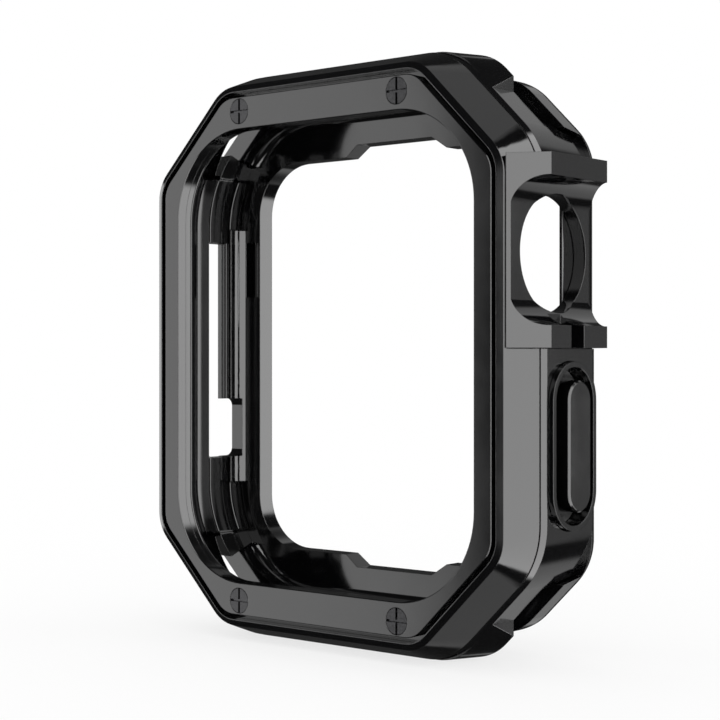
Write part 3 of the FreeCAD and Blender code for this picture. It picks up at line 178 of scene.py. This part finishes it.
class SealSizes(bpy.types.PropertyGroup):
    """Gasket at the glass and seal behind the button."""

    gasket_width: millimetres("Gasket width", "Width of the ring, seen from the front", 0.55)
    gasket_corner: millimetres("Gasket corner", "Radius of the ring's outer corners", 8.65)
    rod_clearance: millimetres("Rod clearance", "Room between the push rod and the seal", 0.1)
    web_thickness: millimetres("Web", "Thickness of the folded web", 0.12)
    pressed_share: FloatProperty(
        name="Pressed share",
        description="Share of the seal's thickness that is left when the button is pressed",
        default=0.35,
        min=0.05,
        max=1.0,
        subtype="FACTOR",
    )
    steps: IntProperty(
        name="Steps", description="Points round each corner", default=24, min=6, max=100
    )


class StudioSettings(bpy.types.PropertyGroup):
    """Camera, panels and floor."""

    lens: FloatProperty(
        name="Lens", description="Focal length", default=82.4, unit="CAMERA", min=10, max=300
    )
    eye_x: millimetres("Eye X", "Camera's place across the case", 94.8, -500, 500)
    eye_y: millimetres("Eye Y", "Camera's place along the depth", -114.1, -500, 500)
    turn: FloatProperty(
        name="Turn",
        description="Turn of the camera about the vertical",
        default=math.radians(39.8),
        subtype="ANGLE",
    )
    panel: FloatProperty(
        name="Panels", description="Strength of the light panels", default=5.0, min=0, max=20
    )
    room: FloatProperty(
        name="Room", description="Strength of the plain light all round", default=1.0, min=0, max=5
    )
    glow: FloatProperty(
        name="Paper glow",
        description="How much of the paper's white is its own",
        default=0.75,
        min=0,
        max=1,
        subtype="FACTOR",
    )
    sensor: FloatProperty(
        name="Sensor", description="Width of the sensor", default=36, unit="CAMERA", min=5, max=60
    )
    shift: FloatProperty(
        name="Shift",
        description="Upward shift, as a share of the frame",
        default=-0.0056,
        min=-0.1,
        max=0.1,
        subtype="FACTOR",
    )
    floor_side: millimetres("Floor", "Half the side of the floor", 1500, 100, 5000)


def new_piece(name, points, faces, material, body="case"):
    """Closed mesh from arrays of points and faces, finished and riding on a body."""
    mesh = bpy.data.meshes.new(name)
    mesh.from_pydata(points.reshape(-1, 3).tolist(), [], faces)
    mesh.validate()
    shell = bmesh.new()
    shell.from_mesh(mesh)
    bmesh.ops.remove_doubles(shell, verts=shell.verts, dist=WELD)
    bmesh.ops.recalc_face_normals(shell, faces=shell.faces)
    shell.to_mesh(mesh)
    shell.free()
    mesh.materials.append(material)
    mesh.shade_smooth()
    mesh.set_sharp_from_angle(angle=SHARP_TURN)
    piece = bpy.data.objects.new(name, mesh)
    bpy.context.scene.collection.objects.link(piece)
    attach(piece, body)
    return piece


def grid_faces(rows, columns, closed_rows, closed_columns, first=0):
    """Quads of a grid of rows by columns, joined end to end where a direction is closed."""
    row = np.arange(rows if closed_rows else rows - 1)[:, None]
    column = np.arange(columns if closed_columns else columns - 1)[None, :]
    next_row, next_column = (row + 1) % rows, (column + 1) % columns
    corners = [row * columns + column, next_row * columns + column]
    corners += [next_row * columns + next_column, row * columns + next_column]
    return (np.stack(corners, -1).reshape(-1, 4) + first).tolist()


def wall_line(half_width, half_height, radius, heights):
    """Places and outward normals along the right half of a rounded rectangle.

    Beside the straight wall a place keeps the half width. Above it, it follows a quarter
    circle: its width is the circle's centre plus the root of the radius squared less the
    square of its height over that centre. The normal points from that centre.
    """
    over = np.clip(np.abs(heights) - (half_height - radius), 0.0, ARC_SHARE * radius)
    drop = np.sqrt(radius**2 - over**2)
    places = np.stack([half_width - radius + drop, heights], -1)
    normals = np.stack([drop, np.sign(heights) * over], -1) / radius
    return places, normals


def swept(places, normals, section, side, mid_z):
    """Section swept along a line: each of its points is set off inwards along the normal.

    The section's columns are the distance in from the line and the depth. The result holds
    the points, one row for each place along the line.
    """
    flat = places[:, None, :] - normals[:, None, :] * section[None, :, 0, None]
    depth = np.broadcast_to(section[None, :, 1], flat.shape[:2])
    return np.stack([side * flat[..., 0], depth, mid_z + flat[..., 1]], -1)


def capped_sweeps(strips):
    """Points and faces of several closed strips, each with its two ends filled in."""
    points, faces, first = [], [], 0
    for strip in strips:
        rows, columns = strip.shape[:2]
        faces += grid_faces(rows, columns, False, True, first)
        faces.append(list(range(first, first + columns)))
        faces.append(list(range(first + (rows - 1) * columns, first + rows * columns)))
        points.append(strip.reshape(-1, 3))
        first += rows * columns
    return np.concatenate(points), faces


def ring_line(half_width, half_height, radius, count):
    """Places and outward normals round a whole rounded rectangle.

    The angle runs once round. The normal is its cosine and sine, and the place is the
    corner circle's centre, on the side that the normal points to, plus radius times normal.
    """
    quarter = np.linspace(0.0, math.pi / 2, count)
    turn = np.concatenate([quarter + side * math.pi / 2 for side in range(4)])
    normals = np.stack([np.cos(turn), np.sin(turn)], -1)
    middle = np.repeat(math.pi / 4 + np.arange(4) * math.pi / 2, count)
    corners = np.sign(np.stack([np.cos(middle), np.sin(middle)], -1))
    centres = corners * [half_width - radius, half_height - radius]
    return centres + radius * normals, normals


def obround_line(half_width, half_height, count):
    """Places round an upright slot with half-round ends.

    The normal turns once round, and the place is the centre of the upper or the lower
    half circle plus the half width times the normal.
    """
    half = np.linspace(0.0, math.pi, count)
    turn = np.concatenate([half, half + math.pi])
    rise = np.repeat([half_height - half_width, half_width - half_height], count)
    return np.stack([half_width * np.cos(turn), rise + half_width * np.sin(turn)], -1)


def banded_section(sizes, low, back):
    """Section of a lining's front strip: a bead, a flat land, and a slope down to the slot."""
    gap, thick = sizes.gap * MM, sizes.thickness * MM
    bead, land = thick + sizes.bead * MM, thick + sizes.land * MM
    bead_end, land_end = low + sizes.bead_width * MM, low + sizes.land_end * MM
    step = thick - sizes.step * MM
    round_off = BEAD_ROUNDING * sizes.bead * MM
    return [
        (gap, low + gap),
        (gap, back),
        (step, back),
        (step, back - gap),
        (land, land_end),
        (land, bead_end + round_off),
        (land + round_off, bead_end),
        (bead - round_off, low + 2 * round_off),
        (bead, low + gap + round_off),
        (bead - round_off, low + gap),
    ]


def plain_section(sizes, near, far):
    """Section of a flat strip that thins towards the back, its inner corners rounded off."""
    gap, thick = sizes.gap * MM, sizes.thickness * MM
    thin = thick - sizes.taper * (far - near)
    return [
        (gap, near),
        (gap, far),
        (thin - gap, far),
        (thin, far - gap),
        (thick, near + gap),
        (thick - gap, near),
    ]


def add(tree, kind, settings=None, **links):
    """Node of a kind with settings, its inputs set or linked by name or, as i0, by place."""
    node = tree.nodes.new(kind)
    for name, setting in (settings or {}).items():
        setattr(node, name, setting)
    for name, source in links.items():
        by_place = name[0] == "i" and name[1:].isdigit()
        socket = node.inputs[int(name[1:]) if by_place else name.replace("_", " ")]
        if isinstance(source, bpy.types.NodeSocket):
            tree.links.new(source, socket)
        else:
            socket.default_value = source
    return node


def maths(tree, operation, *terms):
    """Result of a math node on one or more terms."""
    places = {f"i{place}": term for place, term in enumerate(terms)}
    return add(tree, "ShaderNodeMath", {"operation": operation}, **places).outputs[0]


def mix(tree, share, first, second):
    """Mixed light of two shaders: the first at a share of nought, the second at one."""
    return add(tree, "ShaderNodeMixShader", Fac=share, i1=first, i2=second).outputs[0]


def white_light(tree, strength):
    """White light of a strength, for the world."""
    return add(tree, "ShaderNodeBackground", Color=WHITE, Strength=strength).outputs[0]


def noise(tree, size, **detail):
    """Noise fixed to the piece, whose patches are about this many millimetres wide."""
    spot = add(tree, "ShaderNodeTexCoord").outputs["Object"]
    return add(
        tree, "ShaderNodeTexNoise", Vector=spot, Scale=1 / (size * MM), **detail
    ).outputs["Fac"]


def spread(tree, pattern, least, most, low=0.35, high=0.7):
    """Values from least to most, where a noise goes through its usual values, low to high."""
    return add(
        tree, "ShaderNodeMapRange", Value=pattern, i1=low, i2=high, i3=least, i4=most
    ).outputs["Result"]


def rounded_edges(tree, finish):
    """Normal that turns softly over each sharp edge, so that it catches a thin line of light."""
    radius = finish.edge * MM
    return add(tree, "ShaderNodeBevel", {"samples": EDGE_SAMPLES}, Radius=radius).outputs["Normal"]


def bumped(tree, pattern, strength, depth, **base):
    """Normal bent by a pattern that is this many millimetres deep."""
    bump = add(
        tree, "ShaderNodeBump", Strength=strength, Distance=depth * MM, Height=pattern, **base
    )
    return bump.outputs["Normal"]


def new_material(name):
    """Empty node material of that name, or the one made before."""
    material = bpy.data.materials.get(name)
    if material is None:
        material = bpy.data.materials.new(name)
        material.use_nodes = True
        material.node_tree.nodes.clear()
    return material, material.node_tree


def surface(tree, **inputs):
    """End a material in one principled surface with these inputs."""
    shader = add(tree, "ShaderNodeBsdfPrincipled", **inputs)
    add(tree, "ShaderNodeOutputMaterial", Surface=shader.outputs["BSDF"])


def polycarbonate_polished_black(finish):
    """Polycarbonate from a polished mould: deep black, so that only its clear reflections model it.

    A polished mould leaves a ripple a few millimetres long, as on an orange's skin, which
    bends the edges of reflections a little. Its sharp edges come out very slightly rounded,
    so that they catch a thin line of light. Handling leaves faint hazy patches.
    """
    material, tree = new_material("polycarbonate_polished_black")
    if tree.nodes:
        return material
    haze = noise(tree, size=9, Detail=3.0, Roughness=0.55)
    tone = spread(tree, haze, least=0.8, most=1.25, low=0.0, high=1.0)
    colour = add(
        tree, "ShaderNodeVectorMath", {"operation": "SCALE"}, i0=finish.plastic[:3], Scale=tone
    )
    ripple = noise(tree, size=2.5, Detail=1.0)
    edges = rounded_edges(tree, finish)
    surface(
        tree,
        Base_Color=colour.outputs["Vector"],
        Roughness=spread(tree, haze, least=0.07, most=0.12),
        IOR=1.58,
        Normal=bumped(tree, ripple, strength=0.06, depth=0.04, Normal=edges),
    )
    return material


def polycarbonate_button_black(finish):
    """Polycarbonate of the button's own mould, worn a little duller by fingers than the case."""
    material, tree = new_material("polycarbonate_worn_black")
    if tree.nodes:
        return material
    wear = noise(tree, size=3, Detail=4.0, Roughness=0.6)
    ripple = noise(tree, size=1.2, Detail=1.0)
    edges = rounded_edges(tree, finish)
    surface(
        tree,
        Base_Color=list(finish.plastic),
        Roughness=spread(tree, wear, least=0.1, most=0.18),
        IOR=1.58,
        Normal=bumped(tree, ripple, strength=0.08, depth=0.03, Normal=edges),
    )
    return material


def thermoplastic_rubber_black(finish):
    """Thermoplastic rubber from a fine-ground mould: near black, with a satin sheen.

    Grinding leaves marks about 0.03 mm wide. They are drawn at 0.12 mm, because finer ones
    don't show in the render.
    """
    material, tree = new_material("thermoplastic_rubber_black")
    if tree.nodes:
        return material
    marks = noise(tree, size=0.12, Detail=2.0)
    bloom = noise(tree, size=6, Detail=3.0)
    surface(
        tree,
        Base_Color=list(finish.rubber),
        Roughness=spread(tree, bloom, least=0.1, most=0.16),
        IOR=1.5,
        Normal=bumped(tree, marks, strength=0.08, depth=0.01),
    )
    return material


def steel_black_oxide(finish):
    """Carbon steel with a hot black oxide skin: dark metal with a soft, slightly uneven shine.

    The turned head leaves fine rings 0.05 mm apart, drawn as grain 0.15 mm wide.
    """
    material, tree = new_material("steel_black_oxide")
    if tree.nodes:
        return material
    grain = noise(tree, size=0.15, Detail=3.0)
    surface(
        tree,
        Base_Color=list(finish.steel),
        Metallic=1.0,
        Roughness=spread(tree, grain, least=0.12, most=0.24, low=0.3),
        Normal=bumped(tree, grain, strength=0.1, depth=0.004),
    )
    return material


def paper_matt_white(studio):
    """White paper that glows for the camera, keeps the soft shadow and leaves reflections alone."""
    material, tree = new_material("paper_matt_white")
    path = add(tree, "ShaderNodeLightPath")
    fibre = bumped(tree, noise(tree, size=0.4, Detail=2.0), strength=0.05, depth=0.02)
    paper = add(tree, "ShaderNodeBsdfDiffuse", Color=linear("#ffffff"), Normal=fibre).outputs[0]
    own = add(tree, "ShaderNodeEmission", Color=WHITE, Strength=1.0).outputs[0]
    clear = add(tree, "ShaderNodeBsdfTransparent").outputs[0]
    bright = mix(tree, studio.glow, paper, own)
    seen = mix(tree, path.outputs["Is Camera Ray"], paper, bright)
    shown = mix(tree, path.outputs["Is Glossy Ray"], seen, clear)
    add(tree, "ShaderNodeOutputMaterial", Surface=shown)
    return material


def dress(names, material):
    """Give CAD nodes a material."""
    for name in names:
        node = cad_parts[name]
        node.data.materials.clear()
        node.data.materials.append(material)


class CASE_OT_hard_rings(bpy.types.Operator):
    """Dress the bumper, face plate, frames, guard and collar as polished polycarbonate"""

    bl_idname = "case.hard_rings"
    bl_label = "Hard rings and guard"

    def execute(self, context):
        names = ["front_bumper", "face_plate", "middle_frame", "back_frame"]
        names += ["crown_guard", "button_collar"]
        dress(names, polycarbonate_polished_black(context.scene.case_finish))
        return {"FINISHED"}


class CASE_OT_screws(bpy.types.Operator):
    """Dress the face, corner and guard screws as black oxide steel"""

    bl_idname = "case.screws"
    bl_label = "Screws"

    def execute(self, context):
        names = [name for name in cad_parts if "_screw_" in name]
        dress(names, steel_black_oxide(context.scene.case_finish))
        return {"FINISHED"}


class CASE_OT_button(bpy.types.Operator):
    """Dress the button's cap and push rod"""

    bl_idname = "case.button"
    bl_label = "Side button"

    def execute(self, context):
        names = ["button_cap", "push_rod"]
        dress(names, polycarbonate_button_black(context.scene.case_finish))
        return {"FINISHED"}


class CASE_OT_linings(bpy.types.Operator):
    """Make the soft linings inside the side walls, open at the speaker slot and the button"""

    bl_idname = "case.linings"
    bl_label = "Side linings"

    def execute(self, context):
        sizes = context.scene.case_lining
        front = cad_box[0][1]
        outer = -node_span("left_liner", "x")[0]
        low, high = node_span("left_liner", "y")
        bottom, top = node_span("left_liner", "z")
        mid_z, end = (bottom + top) / 2, (top - bottom) / 2
        wall = (outer, sizes.watch_height * MM / 2, sizes.corner * MM)
        gap = sizes.gap * MM
        rail_back = node_span("middle_frame", "y")[1] - gap
        corner_start = sizes.corner_start * MM

        def strip(section, start, stop, side):
            """One strip of a lining between two heights from the middle."""
            count = max(2, int(sizes.steps * (stop - start) / (2 * end)))
            places, normals = wall_line(*wall, np.linspace(start, stop, count))
            return swept(places, normals, np.array(section), side, mid_z)

        def banded(back):
            return banded_section(sizes, low, back)

        def plain(near, far):
            return plain_section(sizes, near, far)

        slot_front, slot_back = front + sizes.slot_front * MM, front + sizes.slot_back * MM
        slot_top, slot_bottom = sizes.slot_top * MM, sizes.slot_bottom * MM
        slot_step = sizes.slot_step * MM
        left = [
            (banded(slot_front - gap), -end, end),
            (plain(slot_front, high), slot_top, end),
            (plain(slot_front, high), -end, slot_bottom),
            (plain(slot_back, high), slot_step, slot_top),
            (plain(high, rail_back), corner_start, end),
            (plain(high, rail_back), -end, -corner_start),
        ]
        room = sizes.rod_room * MM
        rod_low, rod_high = node_span("push_rod", "z")
        rod_low, rod_high = rod_low - mid_z - room, rod_high - mid_z + room
        rod_front, rod_back = node_span("push_rod", "y")
        near, far = rod_front - room, rod_back + room
        guard_end = node_span("right_liner", "z")[1] - mid_z
        sound_end = guard_end - sizes.sound_room * MM
        right = [
            (banded(near - gap), -end, sound_end),
            (plain(near, high), -end, rod_low),
            (plain(near, high), rod_high, sound_end),
            (plain(far, high), rod_low, rod_high),
            (plain(high, rail_back), -end, -corner_start),
        ]
        rubber = thermoplastic_rubber_black(context.scene.case_finish)
        for node, side, strips in (("left_liner", -1, left), ("right_liner", 1, right)):
            points, faces = capped_sweeps([strip(*reach, side) for reach in strips])
            name = node.replace("liner", "lining")
            piece = new_piece(name, points, faces, rubber)
            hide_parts(node)
        return {"FINISHED"}


class CASE_OT_gasket(bpy.types.Operator):
    """Make the rounded soft ring that seals the watch's glass against the bumper's lip"""

    bl_idname = "case.gasket"
    bl_label = "Screen gasket"

    def execute(self, context):
        sizes = context.scene.case_seals
        across = node_span("screen_gasket", "x")[1]
        near, far = node_span("screen_gasket", "y")
        low, high = node_span("screen_gasket", "z")
        width, corner = sizes.gasket_width * MM, sizes.gasket_corner * MM
        places, normals = ring_line(across, (high - low) / 2, corner, sizes.steps)
        turn = np.linspace(0.0, 2 * math.pi, GASKET_POINTS, endpoint=False)
        # A rounded square: cosine and sine keep their sign and are raised to a power below one
        bulge = np.stack([np.cos(turn), np.sin(turn)], -1)
        bulge = np.sign(bulge) * np.abs(bulge) ** GASKET_POWER
        section = [width / 2, (near + far) / 2] + bulge * [width / 2, (far - near) / 2]
        points = swept(places, normals, section, 1, (low + high) / 2)
        faces = grid_faces(len(places), len(turn), True, True)
        rubber = thermoplastic_rubber_black(context.scene.case_finish)
        gasket = new_piece("gasket_bead", points, faces, rubber)
        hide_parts("screen_gasket")
        return {"FINISHED"}


class CASE_OT_button_seal(bpy.types.Operator):
    """Make the folded web that seals the button and pushes it back"""

    bl_idname = "case.button_seal"
    bl_label = "Button seal"

    def execute(self, context):
        sizes = context.scene.case_seals
        near, far = node_span("button_membrane", "x")
        front, back = node_span("button_membrane", "y")
        low, high = node_span("button_membrane", "z")
        mid_y, mid_z = (front + back) / 2, (low + high) / 2
        room = sizes.rod_clearance * MM
        rod = [node_span("push_rod", axis) for axis in "yz"]
        half = [(span[1] - span[0]) / 2 + room for span in rod]
        outer = obround_line((back - front) / 2, (high - low) / 2, sizes.steps)
        inner = obround_line(*half, sizes.steps)
        # From the rod to the collar the web rises, sinks and rises again, as a sine squared
        share = np.linspace(0.0, 1.0, FOLD_POINTS)
        web = sizes.web_thickness * MM
        fold = (far - near - web) * np.sin(FOLD_WAVES * math.pi * share) ** 2
        height = np.concatenate([near + fold + web, (near + fold)[::-1]])
        share = np.concatenate([share, share[::-1]])
        flat = inner[:, None, :] + (outer - inner)[:, None, :] * share[None, :, None]
        height = np.broadcast_to(height[None, :], flat.shape[:2])
        points = np.stack([height, mid_y + flat[..., 0], mid_z + flat[..., 1]], -1)
        faces = grid_faces(len(outer), len(share), True, True)
        rubber = thermoplastic_rubber_black(context.scene.case_finish)
        seal = new_piece("button_seal", points, faces, rubber)
        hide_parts("button_membrane")
        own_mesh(seal)
        return {"FINISHED"}


# Light panels round the case, in degrees: middle and half width in azimuth, from the front
# towards the crown side, middle and half width in elevation, and softness. The last number
# is the level. Above and below the horizon are alike.
PANELS = {
    "front_left": (-73.5, 37.0, 0, 14, 1.5, 0.42),
    "crown_side": (77.5, 65.0, 0, 54, 2.0, 0.88),
    "behind_above": (-175, 22, 34, 8, 3.0, 0.12),
    "overhead": (150, 75, 74, 7, 3.0, 0.14),
    "behind_crown_side": (147.5, 5, 0, 20, 2.0, 0.08),
    "plain_rest": (180, 181, 0, 91, 1.0, 0.008),
}


def panel_light(tree, azimuth, elevation, panel):
    """Level of one panel: full inside its azimuth and elevation, falling off at its edges."""
    *angles, level = panel
    middle, half_width, rise, half_height, soft = (math.radians(angle) for angle in angles)
    away = maths(tree, "SUBTRACT", azimuth, middle)
    aside = maths(tree, "ABSOLUTE", maths(tree, "WRAP", away, math.pi, -math.pi))
    above = maths(tree, "ABSOLUTE", maths(tree, "SUBTRACT", elevation, rise))
    shares = []
    for distance, reach in ((aside, half_width), (above, half_height)):
        share = add(
            tree,
            "ShaderNodeMapRange",
            {"interpolation_type": "SMOOTHSTEP"},
            Value=distance,
            i1=reach + soft,
            i2=reach - soft,
            i3=0.0,
            i4=1.0,
        )
        shares.append(share.outputs["Result"])
    return maths(tree, "MULTIPLY", maths(tree, "MULTIPLY", *shares), level)


def studio_world(studio):
    """World of soft panels for reflections, plain light for the rest, white for the camera."""
    world = bpy.data.worlds.new("studio")
    bpy.context.scene.world = world
    world.use_nodes = True
    tree = world.node_tree
    tree.nodes.clear()
    way = add(tree, "ShaderNodeTexCoord").outputs["Generated"]
    axes = add(tree, "ShaderNodeSeparateXYZ", i0=way).outputs
    azimuth = maths(tree, "ARCTAN2", axes["X"], maths(tree, "MULTIPLY", axes["Y"], -1.0))
    elevation = maths(tree, "ARCSINE", maths(tree, "ABSOLUTE", axes["Z"]))
    brightest = 0.0
    for panel in PANELS.values():
        level = panel_light(tree, azimuth, elevation, panel)
        brightest = maths(tree, "MAXIMUM", brightest, level)
    panels = white_light(tree, maths(tree, "MULTIPLY", brightest, studio.panel))
    path = add(tree, "ShaderNodeLightPath")
    plain = white_light(tree, studio.room)
    lit = mix(tree, path.outputs["Is Glossy Ray"], plain, panels)
    shown = mix(tree, path.outputs["Is Camera Ray"], lit, white_light(tree, 1.0))
    add(tree, "ShaderNodeOutputWorld", Surface=shown)


class CASE_OT_stage(bpy.types.Operator):
    """Set up the camera, the light panels and the white paper floor"""

    bl_idname = "case.stage"
    bl_label = "Stage"

    def execute(self, context):
        studio = context.scene.case_studio
        scene = context.scene
        studio_world(studio)
        data = bpy.data.cameras.new("camera")
        data.lens = studio.lens
        data.sensor_width = studio.sensor
        data.clip_start = CLIP_START
        data.shift_y = studio.shift
        camera = bpy.data.objects.new("camera", data)
        scene.collection.objects.link(camera)
        mid_z = (cad_box[0][2] + cad_box[1][2]) / 2
        camera.location = Vector((studio.eye_x * MM, studio.eye_y * MM, mid_z))
        ahead = Vector((-math.sin(studio.turn), math.cos(studio.turn), 0.0))
        camera.rotation_euler = ahead.to_track_quat("-Z", "Y").to_euler()
        scene.camera = camera
        side = studio.floor_side * MM
        corners = [(-side, -side, 0.0), (side, -side, 0.0), (side, side, 0.0), (-side, side, 0.0)]
        mesh = bpy.data.meshes.new("floor")
        mesh.from_pydata(corners, [], [(0, 1, 2, 3)])
        mesh.materials.append(paper_matt_white(studio))
        floor = bpy.data.objects.new("floor", mesh)
        scene.collection.objects.link(floor)
        scene.view_settings.view_transform = "Standard"
        return {"FINISHED"}


SETTINGS = {
    "case_finish": CaseFinish,
    "case_lining": LiningSizes,
    "case_seals": SealSizes,
    "case_studio": StudioSettings,
}
OPERATORS = [
    CASE_OT_hard_rings,
    CASE_OT_screws,
    CASE_OT_button,
    CASE_OT_linings,
    CASE_OT_gasket,
    CASE_OT_button_seal,
    CASE_OT_stage,
]


class CASE_PT_sidebar(bpy.types.Panel):
    """Lists the settings and the operators in the order in which they build the case"""

    bl_idname = "CASE_PT_sidebar"
    bl_label = "Watch Case"
    bl_space_type = "VIEW_3D"
    bl_region_type = "UI"
    bl_category = "Watch Case"

    def draw(self, context):
        for name, group in SETTINGS.items():
            column = self.layout.column(align=True)
            for setting in group.__annotations__:
                column.prop(getattr(context.scene, name), setting)
        for operator in OPERATORS:
            self.layout.operator(operator.bl_idname)


def register():
    for name, group in SETTINGS.items():
        bpy.utils.register_class(group)
        setattr(bpy.types.Scene, name, PointerProperty(type=group))
    for operator in OPERATORS:
        bpy.utils.register_class(operator)
    bpy.utils.register_class(CASE_PT_sidebar)


def unregister():
    bpy.utils.unregister_class(CASE_PT_sidebar)
    for operator in reversed(OPERATORS):
        bpy.utils.unregister_class(operator)
    for name, group in SETTINGS.items():
        delattr(bpy.types.Scene, name)
        bpy.utils.unregister_class(group)


def main():
    register()
    for operator in OPERATORS:
        family, name = operator.bl_idname.split(".")
        getattr(getattr(bpy.ops, family), name)()


if __name__ == "__main__":
    main()
